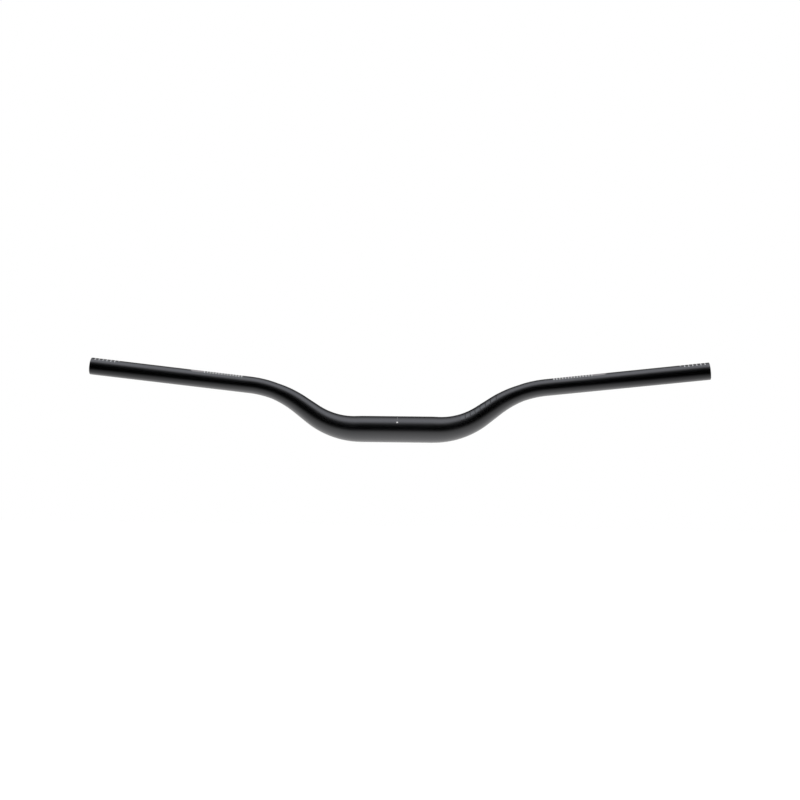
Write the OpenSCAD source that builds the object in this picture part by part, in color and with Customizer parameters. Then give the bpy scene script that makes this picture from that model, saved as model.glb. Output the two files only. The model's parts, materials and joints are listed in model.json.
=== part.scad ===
// Riser handlebar for a mountain bicycle: one swaged and butted alloy tube, bent twice on each side.
//
// The origin is the centre of the stem clamp. X runs across the bicycle, with +X on the rider's right,
// +Y points forward and +Z up, so both grips sweep back towards -Y. Lengths are in millimetres.

/* [Width and rise] */
// Width across the bar, between the centres of its two end faces
bar_w = 800; // [720:5:840]
// Height of the centre line where the grip begins, above the centre of the clamp
rise = 57; // [52:1:70]
// Angle of the grips above the horizontal, in degrees
upsweep = 6; // [4:0.5:9]
// Angle by which the arms sweep back, in degrees
backsweep = 8; // [5:0.5:12]

/* [Clamp] */
// Diameter of the seat that the stem clamps
clamp_d = 35; // [31.8:0.1:35.4]
// Length of that seat
clamp_l = 98; // [80:1:110]
// Length of the straight shoulder between each end of the seat and the first bend
shoulder_l = 4; // [2:0.5:12]

/* [Bends] */
// Radius of the bend beside the clamp, on the centre line
first_bend_r = 100; // [85:1:125]
// Radius of the bend before the grip, on the centre line
second_bend_r = 140; // [115:1:165]
// Angle of the straight leg between the two bends above the horizontal, in degrees
leg_angle = 35.5; // [33:0.5:38]

/* [Tube] */
// Outer diameter of the grips
grip_d = 22.2; // [20:0.1:24]
// Distance along the centre line from the middle of the bar to the thin end of the taper
taper_end = 176; // [150:1:198]
// Wall of the tube in the clamp
centre_wall = 2.6; // [2:0.1:3.5]
// Wall of the tube in the grips
grip_wall = 2; // [1.6:0.1:2.6]
// Chamfer on the outer edge of each end
outer_chamfer = 0.5; // [0.2:0.1:0.8]
// Chamfer on the inner edge of each end
bore_chamfer = 0.3; // [0.1:0.1:0.6]

/* [Hidden] */

finish = [0.10, 0.10, 0.11];

// How far the tapered stretch lies under the round seats that it runs into, so that no surfaces graze
lap_depth = 0.01;
// How far it runs into them
lap_l = 0.6;
// The seats end in a slight cone, which goes this deep and this far, so that the taper rises out of it
ease = 0.2;
ease_l = 0.8;
// How far the bore is cut past each end
overcut = 1;

// Sides of the tapered stretch, outside and inside, and its rings in each bend
outer_sides = 48;
bore_sides = 36;
first_rings = 11;
second_rings = 9;
round_sides = 96;

// Directions of the centre line in the leg and in the grip, on the right
function swept(up) = [cos(up) * cos(backsweep), -cos(up) * sin(backsweep), sin(up)];
across = [1, 0, 0];
leg_dir = swept(leg_angle);
grip_dir = swept(upsweep);

// Each bend is an arc in its own plane: the axis that it turns about, and how far it turns
function unit(v) = v / norm(v);
first_axis = unit(cross(across, leg_dir));
second_axis = unit(cross(leg_dir, grip_dir));
first_turn = acos(across * leg_dir);
second_turn = leg_angle - upsweep;

function arc_l(r, turn) = r * turn * PI / 180;
function arc_point(dir, axis, r, turn) = r * (sin(turn) * dir + (1 - cos(turn)) * cross(axis, dir));

// The leg takes up the height that the bends leave
first_step = arc_point(across, first_axis, first_bend_r, first_turn);
second_step = arc_point(leg_dir, second_axis, second_bend_r, second_turn);
leg_l = (rise - first_step.z - second_step.z) / leg_dir.z;

// Where each stretch begins, as a distance along the centre line and as a point
taper_start = clamp_l / 2;
first_start = taper_start + shoulder_l;
leg_start = first_start + arc_l(first_bend_r, first_turn);
second_start = leg_start + leg_l;
grip_start = second_start + arc_l(second_bend_r, second_turn);
first_point = first_start * across;
leg_point = first_point + first_step;
second_point = leg_point + leg_l * leg_dir;
grip_point = second_point + second_step;
grip_l = (bar_w / 2 - grip_point.x) / grip_dir.x;

function limited(a, most) = min(max(a, 0), most);
function first_angle(s) = limited((s - first_start) / first_bend_r * 180 / PI, first_turn);
function second_angle(s) = limited((s - second_start) / second_bend_r * 180 / PI, second_turn);

// The centre line on the right, at a distance s from the middle of the bar
function centre_line(s) =
    s < first_start ? s * across
    : s < leg_start ? first_point + arc_point(across, first_axis, first_bend_r, first_angle(s))
    : s < second_start ? leg_point + (s - leg_start) * leg_dir
    : s < grip_start ? second_point + arc_point(leg_dir, second_axis, second_bend_r, second_angle(s))
    : grip_point + (s - grip_start) * grip_dir;

// Outer radius and wall, both drawn down evenly along the taper
function thinned(s, from, to) = from + (to - from) * limited((s - taper_start) / (taper_end - taper_start), 1);
function outer_r(s) = thinned(s, clamp_d, grip_d) / 2 - lap_depth;
function bore_r(s) = outer_r(s) - thinned(s, centre_wall, grip_wall);

// Distances at which the tapered stretch has a ring
stations = [
    taper_start - lap_l,
    taper_start,
    for (i = [0 : first_rings]) first_start + (leg_start - first_start) * i / first_rings,
    for (i = [0 : second_rings]) second_start + (grip_start - second_start) * i / second_rings,
    grip_start + lap_l
];

// A vector turned about a unit axis
function turned(v, axis, a) = v * cos(a) + cross(axis, v) * sin(a) + axis * (axis * v) * (1 - cos(a));

// A ring square to the centre line, carried through both bends without twist
function ring_point(s, r, a) =
    centre_line(s)
    + turned(turned([0, r * cos(a), r * sin(a)], first_axis, first_angle(s)), second_axis, second_angle(s));

// The solid inside a row of rings
module through_rings(radii, sides) {
    last = len(stations) - 1;
    polyhedron(
        points = [for (j = [0 : last]) for (i = [0 : sides - 1]) ring_point(stations[j], radii[j], 360 * i / sides)],
        faces = [
            [for (i = [0 : sides - 1]) i],
            for (j = [0 : last - 1])
                for (i = [0 : sides - 1])
                    let (k = (i + 1) % sides, near = j * sides, far = near + sides)
                        each [[near + i, far + i, far + k], [near + i, far + k, near + k]],
            [for (i = [0 : sides - 1]) (last + 1) * sides - 1 - i]
        ]
    );
}

// A piece turned about Z, moved to the start of the right grip and laid along it
module along_grip() {
    translate(grip_point) rotate([0, 0, -backsweep]) rotate([0, 90 - upsweep, 0]) children();
}

// A seat turned about Z: a cylinder from z0 up, whose foot is eased, under the points of its other end
module turned_seat(r, z0, end) {
    rotate_extrude($fn = round_sides)
        polygon(concat([[0, z0 - ease_l], [r - ease, z0 - ease_l], [r, z0]], end));
}

module right_arm() {
    r = grip_d / 2;
    through_rings([for (s = stations) outer_r(s)], outer_sides);
    along_grip() turned_seat(r, 0, [[r, grip_l - outer_chamfer], [r - outer_chamfer, grip_l], [0, grip_l]]);
}

module right_bore() {
    r = grip_d / 2 - grip_wall;
    mouth_r = r + bore_chamfer;
    through_rings([for (s = stations) bore_r(s)], bore_sides);
    along_grip() turned_seat(r, 0, [
        [r, grip_l - bore_chamfer],
        [mouth_r, grip_l],
        [mouth_r, grip_l + overcut],
        [0, grip_l + overcut]
    ]);
}

module centre_seat(r) {
    half = clamp_l / 2;
    rotate([0, 90, 0]) turned_seat(r, -half, [[r, half], [r - ease, half + ease_l], [0, half + ease_l]]);
}

module both_sides() {
    children();
    mirror([1, 0, 0]) children();
}

module handlebar() {
    color(finish) difference() {
        union() {
            centre_seat(clamp_d / 2);
            both_sides() right_arm();
        }
        centre_seat(clamp_d / 2 - centre_wall);
        both_sides() right_bore();
    }
}

handlebar();
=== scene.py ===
import json
import math

import bpy
from mathutils import Matrix, Vector


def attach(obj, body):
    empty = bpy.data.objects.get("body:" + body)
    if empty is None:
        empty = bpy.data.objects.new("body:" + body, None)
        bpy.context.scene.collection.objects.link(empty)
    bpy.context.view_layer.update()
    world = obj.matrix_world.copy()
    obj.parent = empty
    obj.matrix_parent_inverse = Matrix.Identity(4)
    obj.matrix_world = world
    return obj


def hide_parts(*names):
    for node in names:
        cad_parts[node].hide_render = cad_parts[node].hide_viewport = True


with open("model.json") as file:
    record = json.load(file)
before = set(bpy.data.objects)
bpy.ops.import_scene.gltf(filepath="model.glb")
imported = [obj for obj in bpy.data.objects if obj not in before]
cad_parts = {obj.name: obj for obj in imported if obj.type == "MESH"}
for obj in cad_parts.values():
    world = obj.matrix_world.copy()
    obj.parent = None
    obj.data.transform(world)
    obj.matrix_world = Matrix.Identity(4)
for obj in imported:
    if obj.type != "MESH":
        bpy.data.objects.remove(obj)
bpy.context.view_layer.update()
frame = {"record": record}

# A riser handlebar: one anodised tube, swaged, butted and bent, with its printed marks.
# Lengths are in metres. +X is the rider's right, +Y is forward and +Z is up.
# A place on the tube is given by s, the distance along its centre line from the middle, below 0 on the
# left, and by an angle round it, from 0 at the top to 90 degrees on the side that faces the rider.

MM = 0.001

# The tube, where the record's mounts don't say it
SHOULDER_L = 4 * MM
FIRST_BEND_R = 100 * MM
SECOND_BEND_R = 140 * MM
LEG_ANGLE = math.radians(35.5)
TAPER_END = 176 * MM
CENTRE_WALL = 2.6 * MM
OUTER_CHAMFER = 0.5 * MM
BORE_CHAMFER = 0.3 * MM

# Its mesh: faces round it, gaps between its rings, steps across each rounded lip, and the angle of its
# UV seam. The bore has one ring for each BORE_RING_STEP rings outside.
FACES_ROUND = 128
SEAT_RING_GAP = 6 * MM
ARM_RING_GAP = 2 * MM
BORE_RING_STEP = 2
LIP_STEPS = 5
SEAM_ANGLE = math.pi

# Marks lie proud of the tube, and reach a little into it so that no gap shows. Their faces are about as
# long as the step, and a rounded mark narrows to this share of its height at its ends.
INK_PROUD = 0.03 * MM
INK_SUNK = 0.05 * MM
INK_STEP = 0.5 * MM
INK_LEAST_STEPS = 2
ROUNDED_END_SHARE = 0.15

# The lines at each end by which the bar is cut to length
CUT_FIRST = 5.7 * MM
CUT_PITCH = 5 * MM
CUT_COUNT = 7
CUT_LINE_W = 0.9 * MM
CUT_REACH = math.radians(42)
LAST_CUT_REACH = math.radians(30)

# The dot and the line that show the middle of the bar, printed slightly off to the right
MIDDLE_S = 0.9 * MM
DOT_R = 1.15 * MM
DOT_ANGLE = math.radians(58)
DOT_SIDES = 32
MIDDLE_LINE_W = 0.1 * MM
MIDDLE_LINE_REACH = math.radians(45)

# A plain row of strokes and a plain bar on top of each grip
PRINT_START = 221 * MM
STROKE_COUNT = 14
STROKE_PITCH = 3.75 * MM
STROKE_W = 1.4 * MM
PRINT_BAR_START = 271 * MM
PRINT_BAR_L = 18 * MM
PRINT_FROM = math.radians(-2)
PRINT_TO = math.radians(39)

# Slanted stripes of clear gloss over the satin, on the right arm, with a thin matt line after each
GLOSS_START = 92.3 * MM
GLOSS_COUNT = 7
GLOSS_PITCH = 8.2 * MM
GLOSS_W = 6.4 * MM
GLOSS_SLANT = -7 * MM
GLOSS_FROM = math.radians(-25)
GLOSS_TO = math.radians(60)
MATT_LINE_GAP = 0.4 * MM
MATT_LINE_W = 0.85 * MM

# The two black finishes: base colour, refractive index, tint of what they mirror, and least and most
# roughness. The oxide is dyed so dark that nearly all of its look is what it mirrors.
NEAR_BLACK = (0.0004, 0.0004, 0.0005, 1)
SATIN_IOR = 1.93
SATIN_TINT = (0.94, 0.95, 1, 1)
SATIN_ROUGHNESS = (0.305, 0.335)
GLOSS_IOR = 1.98
GLOSS_TINT = (0.92, 0.96, 1, 1)
GLOSS_ROUGHNESS = (0.24, 0.28)

# The relief that blasting leaves in the satin
GRAIN_STRENGTH = 0.12
GRAIN_DEPTH = 0.01 * MM

# The inks: the darkest and the lightest colour of their mottle, and the roughness of them all
PALE_INK = ((0.62, 0.62, 0.62, 1), (0.78, 0.78, 0.77, 1))
GREY_INK = ((0.22, 0.21, 0.215, 1), (0.28, 0.265, 0.27, 1))
MATT_BLACK_INK = ((0.003, 0.003, 0.003, 1), (0.006, 0.006, 0.006, 1))
INK_ROUGHNESS = 0.55

# Noise in the finishes: about how many grains it has to a metre, and where nearly all its values lie
CLOUDS = 35
BLASTED_GRAIN = 6500
LACQUER_WAVES = 900
INK_MOTTLE = 2500
NOISE_RANGE = (0.3, 0.7)

# The camera stands where the photograph was taken from. Its lens and its sensor are in millimetres.
CAMERA_AT = Vector((0.061, -1.299, 0.0045))
CAMERA_YAW = math.radians(2.53)
CAMERA_PITCH = math.radians(1.53)
CAMERA_ROLL = math.radians(0.635)
LENS = 43.83
SENSOR = 36

# The studio. Each square metre of the softbox gives out pi times its glow, in watts.
FLOOR_Z = -0.75
FLOOR_SIZE = 12
FLOOR_ALBEDO = 0.3
FLOOR_GLOW = 1.15
FLOOR_TINT = (1, 0.985, 0.96, 1)
SOFTBOX_Z = 1.2
SOFTBOX_SIZE = (3.0, 1.3)
SOFTBOX_GLOW = 0.33
SOFTBOX_TINT = (0.92, 0.95, 1.13)

# Black cards that only reflections see. Two stand round the bar, and the low one lies just under it.
CARD_R = 0.7
CARD_L = 6
CARD_STEP = math.radians(2)
LOW_CARD_Z = -0.035
LOW_CARD_W = 3
CARD_HIDDEN_FROM = ("camera", "diffuse", "transmission", "volume_scatter", "shadow")

# The share of light that each card lets through. For the round cards it goes by elevation in degrees,
# seen from the bar, where 0 is level towards the rider and 90 is overhead. For the low one it goes by
# place, in metres: forward from the bar, and out from its middle. The rider's card stands on the low one.
RIDER_CARD_FOOT = math.degrees(math.asin(LOW_CARD_Z / CARD_R))
RIDER_CARD = ((RIDER_CARD_FOOT, 0), (40, 0), (47, 0.1), (67, 1))
FORWARD_CARD = ((90, 1), (110, 0.55), (128, 0.1), (176, 0.05), (180, 1))
LOW_CARD_ALONG_Y = ((-0.2, 0), (-0.14, 0.25), (-0.09, 0.4), (-0.04, 0.6), (0, 1))
LOW_CARD_ALONG_X = ((0, 1), (0.25, 0.95), (0.4, 0.75), (0.6, 0.95))


def arc_step(along, axis, radius, turn):
    """The step from the start of a bend to where it has turned so far."""
    return radius * (math.sin(turn) * along + (1 - math.cos(turn)) * axis.cross(along))


class Bar:
    """The centre line, the radii and the surface of the tube, from the mounts and the values above."""

    def __init__(self, mounts):
        clamp = mounts["stem_clamp"]
        grip = mounts["grip_seat_right"]
        bore = mounts["end_bore_right"]
        self.clamp_r = clamp["dims"]["r_mm"] * MM
        self.grip_r = grip["dims"]["r_mm"] * MM
        self.grip_bore_r = bore["dims"]["r_mm"] * MM
        self.grip_dir = Vector(grip["axis"]).normalized()
        seat_l = grip["dims"]["length_mm"] * MM
        self.grip_point = Vector(grip["pos_m"]) - self.grip_dir * seat_l / 2

        backsweep = math.atan2(-self.grip_dir.y, self.grip_dir.x)
        upsweep = math.asin(self.grip_dir.z)
        self.across = Vector((1, 0, 0))
        self.leg_dir = Vector((
            math.cos(LEG_ANGLE) * math.cos(backsweep),
            -math.cos(LEG_ANGLE) * math.sin(backsweep),
            math.sin(LEG_ANGLE),
        ))
        self.first_axis = self.across.cross(self.leg_dir).normalized()
        self.second_axis = self.leg_dir.cross(self.grip_dir).normalized()
        self.first_turn = self.across.angle(self.leg_dir)
        self.second_turn = LEG_ANGLE - upsweep

        first_step = arc_step(self.across, self.first_axis, FIRST_BEND_R, self.first_turn)
        second_step = arc_step(self.leg_dir, self.second_axis, SECOND_BEND_R, self.second_turn)
        leg_l = (self.grip_point.z - first_step.z - second_step.z) / self.leg_dir.z
        self.taper_start = clamp["dims"]["length_mm"] * MM / 2
        self.first_start = self.taper_start + SHOULDER_L
        self.leg_start = self.first_start + FIRST_BEND_R * self.first_turn
        self.second_start = self.leg_start + leg_l
        self.grip_start = self.second_start + SECOND_BEND_R * self.second_turn
        self.tip = self.grip_start + seat_l + OUTER_CHAMFER
        self.first_point = self.first_start * self.across
        self.leg_point = self.first_point + first_step
        self.second_point = self.leg_point + leg_l * self.leg_dir

    def line(self, s):
        """The point and the direction of the centre line at s, on the right."""
        if s < self.first_start:
            return s * self.across, self.across
        if s < self.leg_start:
            turn = (s - self.first_start) / FIRST_BEND_R
            step = arc_step(self.across, self.first_axis, FIRST_BEND_R, turn)
            return self.first_point + step, Matrix.Rotation(turn, 3, self.first_axis) @ self.across
        if s < self.second_start:
            return self.leg_point + (s - self.leg_start) * self.leg_dir, self.leg_dir
        if s < self.grip_start:
            turn = (s - self.second_start) / SECOND_BEND_R
            step = arc_step(self.leg_dir, self.second_axis, SECOND_BEND_R, turn)
            return self.second_point + step, Matrix.Rotation(turn, 3, self.second_axis) @ self.leg_dir
        return self.grip_point + (s - self.grip_start) * self.grip_dir, self.grip_dir

    def thinned(self, s, thick, thin):
        """A measure that falls evenly along the taper, from thick at the clamp to thin in the grip."""
        share = (abs(s) - self.taper_start) / (TAPER_END - self.taper_start)
        return thick + (thin - thick) * min(max(share, 0), 1)

    def outer_r(self, s):
        return self.thinned(s, self.clamp_r, self.grip_r)

    def bore_r(self, s):
        return self.thinned(s, self.clamp_r - CENTRE_WALL, self.grip_bore_r)

    def point(self, s, angle, radius):
        """The point at s, at an angle round the tube and a distance from its centre line."""
        centre, along = self.line(abs(s))
        top = (Vector((0, 0, 1)) - along.z * along).normalized()
        to_rider = along.cross(top)
        place = centre + radius * (math.cos(angle) * top + math.sin(angle) * to_rider)
        return Vector((math.copysign(1, s) * place.x, place.y, place.z))

    def stations(self):
        """Where the rings of the right half lie, closer together between the clamp and the grip."""
        stretches = (
            (0, self.first_start, SEAT_RING_GAP),
            (self.first_start, self.grip_start, ARM_RING_GAP),
            (self.grip_start, self.tip, SEAT_RING_GAP),
        )
        found = []
        for start, end, gap in stretches:
            steps = math.ceil((end - start) / gap)
            found += [start + (end - start) * i / steps for i in range(steps)]
        return found


def mesh_object(name, points, faces, material):
    mesh = bpy.data.meshes.new(name)
    mesh.from_pydata(points, [], faces)
    mesh.validate()
    mesh.materials.append(material)
    made = bpy.data.objects.new(name, mesh)
    bpy.context.scene.collection.objects.link(made)
    return made


def mesh_piece(name, points, faces, material):
    """A mesh that is part of the bar. Every piece rides on the one body."""
    made = mesh_object(name, points, faces, material)
    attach(made, "root")
    return made


def lip(bar, edge_r, chamfer, side):
    """The round edge at the tip, as (s, radius). It starts at edge_r, turns outwards where side is 1 and
    inwards where it is -1, and touches the middle of the chamfer that the solid has there."""
    lip_r = chamfer / (2 - math.sqrt(2))
    turns = [math.pi / 2 * i / LIP_STEPS for i in range(LIP_STEPS + 1)]
    return [
        (bar.tip - lip_r * (1 - math.sin(t)), edge_r + side * lip_r * (1 - math.cos(t)))
        for t in turns
    ]


def tube_profile(bar):
    """The closed outline of the tube's wall, as (s, radius): along the outside, then back along the bore."""
    outer_lip = lip(bar, bar.grip_r, OUTER_CHAMFER, -1)
    bore_lip = lip(bar, bar.grip_bore_r, BORE_CHAMFER, 1)
    lip_start = outer_lip[0][0]
    stations = [s for s in bar.stations() if s < lip_start]
    outside = [(s, bar.outer_r(s)) for s in stations] + outer_lip
    inside = [(s, bar.bore_r(s)) for s in stations[::BORE_RING_STEP]] + bore_lip
    left_outside = [(-s, r) for s, r in reversed(outside[1:])]
    left_inside = [(-s, r) for s, r in inside[1:]]
    return left_outside + outside + inside[::-1] + left_inside


def make_tube(bar):
    profile = tube_profile(bar)
    rings, sides = len(profile), FACES_ROUND
    points = [
        bar.point(s, SEAM_ANGLE + 2 * math.pi * i / sides, r)
        for s, r in profile
        for i in range(sides)
    ]
    faces = []
    for j in range(rings):
        near, far = j * sides, (j + 1) % rings * sides
        for i in range(sides):
            k = (i + 1) % sides
            faces.append((near + i, near + k, far + k, far + i))
    tube = mesh_piece("tube", points, faces, satin())
    tube.data.shade_smooth()
    unwrap(tube, profile)
    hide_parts("handlebar")


def unwrap(tube, profile):
    """Lays the faces out along the outline and round the tube, from 0 to 1 each way."""
    run = [0]
    for (s, r), (next_s, next_r) in zip(profile, profile[1:] + profile[:1]):
        run.append(run[-1] + math.hypot(next_s - s, next_r - r))
    layer = tube.data.uv_layers.new(name="along_and_round")
    for face in tube.data.polygons:
        j, i = divmod(face.index, FACES_ROUND)
        corners = ((j, i), (j, i + 1), (j + 1, i + 1), (j + 1, i))
        for corner, (ring, side) in zip(face.loop_indices, corners):
            layer.data[corner].uv = (run[ring] / run[-1], side / FACES_ROUND)


def slab_faces(across, around):
    """The faces of a thin closed slab. Its points are two layers of rows, the outer layer first."""
    row, layer = around + 1, (across + 1) * (around + 1)
    faces = []
    for j in range(across):
        for i in range(around):
            a = j * row + i
            top = (a, a + 1, a + row + 1, a + row)
            faces.append(top)
            faces.append(tuple(layer + k for k in reversed(top)))
    rim = list(range(row))
    rim += [j * row + around for j in range(1, across + 1)]
    rim += [across * row + i for i in range(around - 1, -1, -1)]
    rim += [j * row for j in range(across - 1, 0, -1)]
    for a, b in zip(rim, rim[1:] + rim[:1]):
        faces.append((a, layer + a, layer + b, b))
    return faces


def patch(bar, start, width, angle_from, angle_to, slant=0, rounded=False):
    """The points and faces of a thin closed patch on the tube, which may lean or have round ends."""
    tall = (angle_to - angle_from) * bar.outer_r(start)
    across = max(INK_LEAST_STEPS, round(width / INK_STEP))
    around = max(INK_LEAST_STEPS, round(tall / INK_STEP))
    points = []
    for lift in (INK_PROUD, -INK_SUNK):
        for j in range(across + 1):
            run = width * j / across
            from_end = min(run, width - run) / (tall / 2)
            share = math.sqrt(1 - (1 - min(from_end, 1)) ** 2) if rounded else 1
            for i in range(around + 1):
                up = (i / around - 0.5) * max(share, ROUNDED_END_SHARE)
                s = start + run + slant * up
                angle = (angle_from + angle_to) / 2 + up * (angle_to - angle_from)
                points.append(bar.point(s, angle, bar.outer_r(s) + lift))
    return points, slab_faces(across, around)


def disc(bar, s, angle, radius):
    """The points and faces of a thin round spot of ink on the tube."""
    tube_r = bar.outer_r(s)
    points, faces = [], []
    for lift in (INK_PROUD, -INK_SUNK):
        points.append(bar.point(s, angle, tube_r + lift))
        for i in range(DOT_SIDES):
            turn = 2 * math.pi * i / DOT_SIDES
            points.append(bar.point(
                s + radius * math.cos(turn),
                angle + radius * math.sin(turn) / tube_r,
                tube_r + lift,
            ))
    layer = DOT_SIDES + 1
    for i in range(DOT_SIDES):
        a, b = 1 + i, 1 + (i + 1) % DOT_SIDES
        faces.append((0, b, a))
        faces.append((layer, layer + a, layer + b))
        faces.append((a, b, layer + b, layer + a))
    return points, faces


def printed(name, shapes, material):
    """One piece of several shapes, each given as its points and faces."""
    points, faces = [], []
    for more_points, more_faces in shapes:
        first = len(points)
        points += more_points
        faces += [tuple(first + k for k in face) for face in more_faces]
    return mesh_piece(name, points, faces, material)


def mirrored(shapes):
    """The same shapes on the left of the bar."""
    return [
        ([Vector((-p.x, p.y, p.z)) for p in points], [face[::-1] for face in faces])
        for points, faces in shapes
    ]


def cut_marks(bar):
    lines = []
    for i in range(CUT_COUNT):
        reach = LAST_CUT_REACH if i == CUT_COUNT - 1 else CUT_REACH
        start = bar.tip - CUT_FIRST - i * CUT_PITCH - CUT_LINE_W / 2
        lines.append(patch(bar, start, CUT_LINE_W, -reach, reach))
    return lines


def strokes(bar):
    return [
        patch(bar, PRINT_START + i * STROKE_PITCH, STROKE_W, PRINT_FROM, PRINT_TO)
        for i in range(STROKE_COUNT)
    ]


def print_bar(bar):
    return [patch(bar, PRINT_BAR_START, PRINT_BAR_L, PRINT_FROM, PRINT_TO, rounded=True)]


def slanted(bar, first, width):
    """A row of leaning stripes, whose first starts at first."""
    return [
        patch(bar, first + i * GLOSS_PITCH, width, GLOSS_FROM, GLOSS_TO, slant=GLOSS_SLANT)
        for i in range(GLOSS_COUNT)
    ]


def middle_line(bar):
    start = MIDDLE_S - MIDDLE_LINE_W / 2
    return [patch(bar, start, MIDDLE_LINE_W, -MIDDLE_LINE_REACH, MIDDLE_LINE_REACH)]


def make_prints(bar):
    """Both sides carry the cut marks, the strokes and the bar, and the stripes are on the right only.
    The gloss shares the finish of the tube, but the inks keep their own colour under another finish."""
    pale = ink("pale_ink", PALE_INK)
    for name, shapes, material in (
        ("cut_marks", cut_marks(bar), pale),
        ("strokes", strokes(bar), pale),
        ("print_bar", print_bar(bar), ink("grey_ink", GREY_INK)),
    ):
        printed(name + "_right", shapes, material)
        printed(name + "_left", mirrored(shapes), material)
    stripes = printed("gloss_stripes", slanted(bar, GLOSS_START, GLOSS_W), clear_gloss())
    matt_lines = slanted(bar, GLOSS_START + GLOSS_W + MATT_LINE_GAP, MATT_LINE_W)
    printed("matt_lines", matt_lines, ink("matt_black_ink", MATT_BLACK_INK))
    printed("middle_dot", [disc(bar, MIDDLE_S, DOT_ANGLE, DOT_R)], pale)
    printed("middle_line", middle_line(bar), pale)


def grey(level):
    """An opaque grey."""
    return (level, level, level, 1)


class Look:
    """A material, with short ways to add its nodes. It starts with a Principled BSDF."""

    def __init__(self, name):
        self.material = bpy.data.materials.new(name)
        self.material.use_nodes = True
        self.nodes = self.material.node_tree.nodes
        self.links = self.material.node_tree.links

    def fill(self, node, inputs):
        """Fills inputs of a node, by name or number: a socket is linked, and all else is a value."""
        for key, value in inputs.items():
            if isinstance(value, bpy.types.NodeSocket):
                self.links.new(value, node.inputs[key])
            else:
                node.inputs[key].default_value = value

    def surface(self, inputs):
        """Fills inputs of the Principled BSDF."""
        self.fill(self.nodes["Principled BSDF"], inputs)

    def add(self, kind, inputs=None):
        """A new node, with what it is filled with."""
        node = self.nodes.new("ShaderNode" + kind)
        self.fill(node, inputs or {})
        return node

    def calculate(self, operation, first, second=0):
        """What a Math node makes of one or two values."""
        node = self.add("Math", {0: first, 1: second})
        node.operation = operation
        return node.outputs[0]

    def noise(self, scale):
        """Noise that stays where it is on the bar."""
        where = self.add("TexCoord").outputs["Object"]
        return self.add("TexNoise", {"Vector": where, "Scale": scale}).outputs["Fac"]

    def mapped(self, value, source, target):
        """Moves a value from the source range to the target range."""
        return self.add("MapRange", {
            "Value": value,
            "From Min": source[0],
            "From Max": source[1],
            "To Min": target[0],
            "To Max": target[1],
        }).outputs["Result"]

    def ramp(self, value, stops, interpolation):
        """Turns a value into a share of light by way of (value, share) stops."""
        low, high = stops[0][0], stops[-1][0]
        node = self.add("ValToRGB", {"Fac": self.mapped(value, (low, high), (0, 1))})
        node.color_ramp.interpolation = interpolation
        elements = node.color_ramp.elements
        elements.remove(elements[1])
        elements[0].position = 0
        elements[0].color = grey(stops[0][1])
        for at, share in stops[1:]:
            elements.new((at - low) / (high - low)).color = grey(share)
        return node.outputs["Color"]

    def show(self, shader):
        """Puts another shader in place of the Principled BSDF."""
        self.nodes.remove(self.nodes["Principled BSDF"])
        self.links.new(shader.outputs[0], self.nodes["Material Output"].inputs["Surface"])


def satin():
    """Black anodised alloy: a clear oxide over dye, blasted to a satin grain before it was dyed."""
    look = Look("satin_black_anodised")
    grain = look.add("Bump", {
        "Strength": GRAIN_STRENGTH,
        "Distance": GRAIN_DEPTH,
        "Height": look.noise(BLASTED_GRAIN),
    })
    look.surface({
        "Base Color": NEAR_BLACK,
        "IOR": SATIN_IOR,
        "Specular Tint": SATIN_TINT,
        "Roughness": look.mapped(look.noise(CLOUDS), NOISE_RANGE, SATIN_ROUGHNESS),
        "Normal": grain.outputs["Normal"],
    })
    return look.material


def clear_gloss():
    """The same black under clear lacquer, with faint waves in it."""
    look = Look("gloss_black")
    look.surface({
        "Base Color": NEAR_BLACK,
        "IOR": GLOSS_IOR,
        "Specular Tint": GLOSS_TINT,
        "Roughness": look.mapped(look.noise(LACQUER_WAVES), NOISE_RANGE, GLOSS_ROUGHNESS),
    })
    return look.material


def ink(name, colours):
    """Matt print, mottled from the first colour to the second."""
    look = Look(name)
    tint = look.add("ValToRGB", {"Fac": look.noise(INK_MOTTLE)})
    for element, colour in zip(tint.color_ramp.elements, colours):
        element.color = colour
    look.surface({"Base Color": tint.outputs["Color"], "Roughness": INK_ROUGHNESS})
    return look.material


def make_camera():
    data = bpy.data.cameras.new("camera")
    data.lens = LENS
    data.sensor_width = SENSOR
    camera = bpy.data.objects.new("camera", data)
    bpy.context.scene.collection.objects.link(camera)
    level = Matrix.Rotation(CAMERA_YAW, 3, "Z") @ Matrix.Rotation(math.pi / 2 + CAMERA_PITCH, 3, "X")
    turned = level @ Matrix.Rotation(CAMERA_ROLL, 3, "Z")
    camera.matrix_world = Matrix.Translation(CAMERA_AT) @ turned.to_4x4()
    bpy.context.scene.camera = camera


def make_world():
    """Even white light from all round, which needs no map of where it is bright."""
    world = bpy.data.worlds.new("white")
    world.use_nodes = True
    world.node_tree.nodes["Background"].inputs["Color"].default_value = grey(1)
    world.cycles.sampling_method = "NONE"
    bpy.context.scene.world = world


def make_floor():
    """A floor that takes the bar's shadow. Its glow keeps it white in the picture and in reflections."""
    look = Look("floor")
    path = look.add("LightPath").outputs
    seen = look.calculate("MAXIMUM", path["Is Camera Ray"], path["Is Glossy Ray"])
    seen = look.calculate("MAXIMUM", seen, path["Is Transmission Ray"])
    glow = look.add("Emission", {
        "Color": FLOOR_TINT,
        "Strength": look.calculate("MULTIPLY", seen, FLOOR_GLOW),
    })
    paint = look.add("BsdfDiffuse", {"Color": grey(FLOOR_ALBEDO)})
    look.show(look.add("AddShader", {0: glow.outputs[0], 1: paint.outputs[0]}))
    half = FLOOR_SIZE / 2
    corners = [(x, y, FLOOR_Z) for x, y in ((-half, -half), (half, -half), (half, half), (-half, half))]
    floor = mesh_object("floor", corners, [(0, 1, 2, 3)], look.material)


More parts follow.
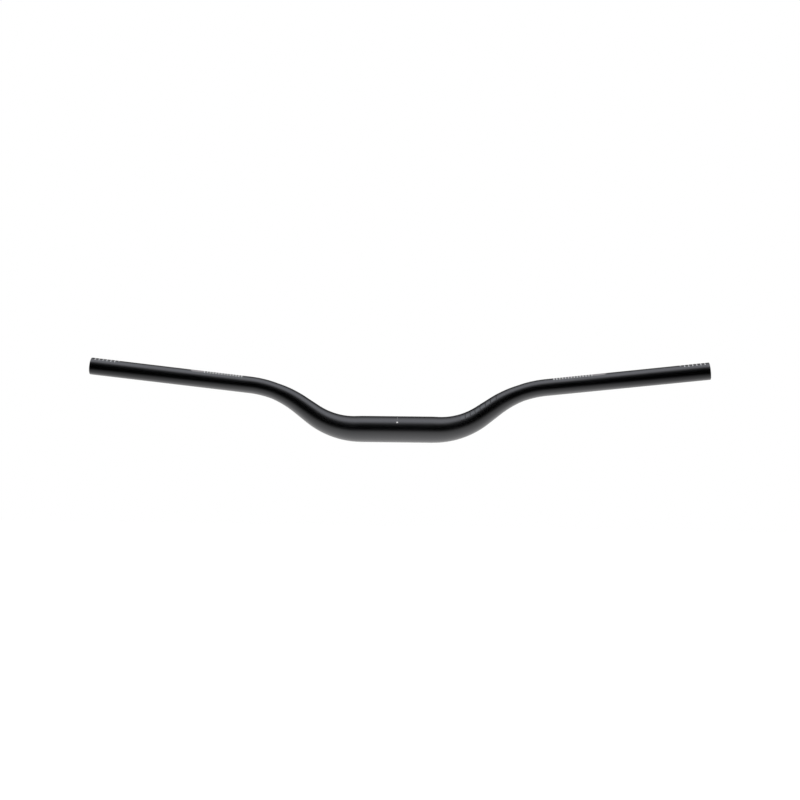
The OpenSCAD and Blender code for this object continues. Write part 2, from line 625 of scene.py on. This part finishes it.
def make_softbox():
    data = bpy.data.lights.new("softbox", "AREA")
    data.shape = "RECTANGLE"
    data.size, data.size_y = SOFTBOX_SIZE
    data.color = SOFTBOX_TINT
    data.energy = SOFTBOX_GLOW * math.pi * SOFTBOX_SIZE[0] * SOFTBOX_SIZE[1]
    softbox = bpy.data.objects.new("softbox", data)
    softbox.location.z = SOFTBOX_Z
    softbox.visible_camera = False
    bpy.context.scene.collection.objects.link(softbox)


def make_card(name, rows, share_of):
    """A black card that spans CARD_L along X, through rows given as (y, z). share_of takes its look and
    the coordinates of a place on it, and gives the socket that says how much light passes there."""
    look = Look(name)
    position = look.add("NewGeometry").outputs["Position"]
    place = look.add("SeparateXYZ", {0: position}).outputs
    black = look.add("BsdfDiffuse", {"Color": grey(0)})
    clear = look.add("BsdfTransparent")
    look.show(look.add("MixShader", {
        "Fac": share_of(look, place),
        1: black.outputs[0],
        2: clear.outputs[0],
    }))
    points = [(x, y, z) for y, z in rows for x in (-CARD_L / 2, CARD_L / 2)]
    faces = [(i, i + 1, i + 3, i + 2) for i in range(0, len(points) - 2, 2)]
    card = mesh_object(name, points, faces, look.material)
    for kind in CARD_HIDDEN_FROM:
        setattr(card, "visible_" + kind, False)


def make_round_card(name, shares):
    """A card bent round the bar, whose shares go by elevation."""
    start, end = math.radians(shares[0][0]), math.radians(shares[-1][0])
    steps = math.ceil((end - start) / CARD_STEP)
    angles = [start + (end - start) * i / steps for i in range(steps + 1)]
    rows = [(-CARD_R * math.cos(angle), CARD_R * math.sin(angle)) for angle in angles]

    def share_of(look, place):
        to_rider = look.calculate("MULTIPLY", place["Y"], -1)
        elevation = look.calculate("ARCTAN2", place["Z"], to_rider)
        return look.ramp(look.calculate("DEGREES", elevation), shares, "EASE")

    make_card(name, rows, share_of)


def make_low_card():
    """A card just under the bar, dark towards the rider and a little darker below the bar's ends."""
    rows = [(y, LOW_CARD_Z) for y in (-LOW_CARD_W / 2, LOW_CARD_W / 2)]

    def share_of(look, place):
        by_x = look.ramp(look.calculate("ABSOLUTE", place["X"]), LOW_CARD_ALONG_X, "LINEAR")
        by_y = look.ramp(place["Y"], LOW_CARD_ALONG_Y, "LINEAR")
        return look.calculate("MULTIPLY", by_x, by_y)

    make_card("low_card", rows, share_of)


make_camera()
bar = Bar({mount["name"]: mount for mount in frame["record"]["mounts"]})
make_tube(bar)
make_prints(bar)

make_world()
make_floor()
make_softbox()
make_round_card("rider_card", RIDER_CARD)
make_round_card("forward_card", FORWARD_CARD)
make_low_card()
bpy.context.scene.view_settings.view_transform = "Standard"
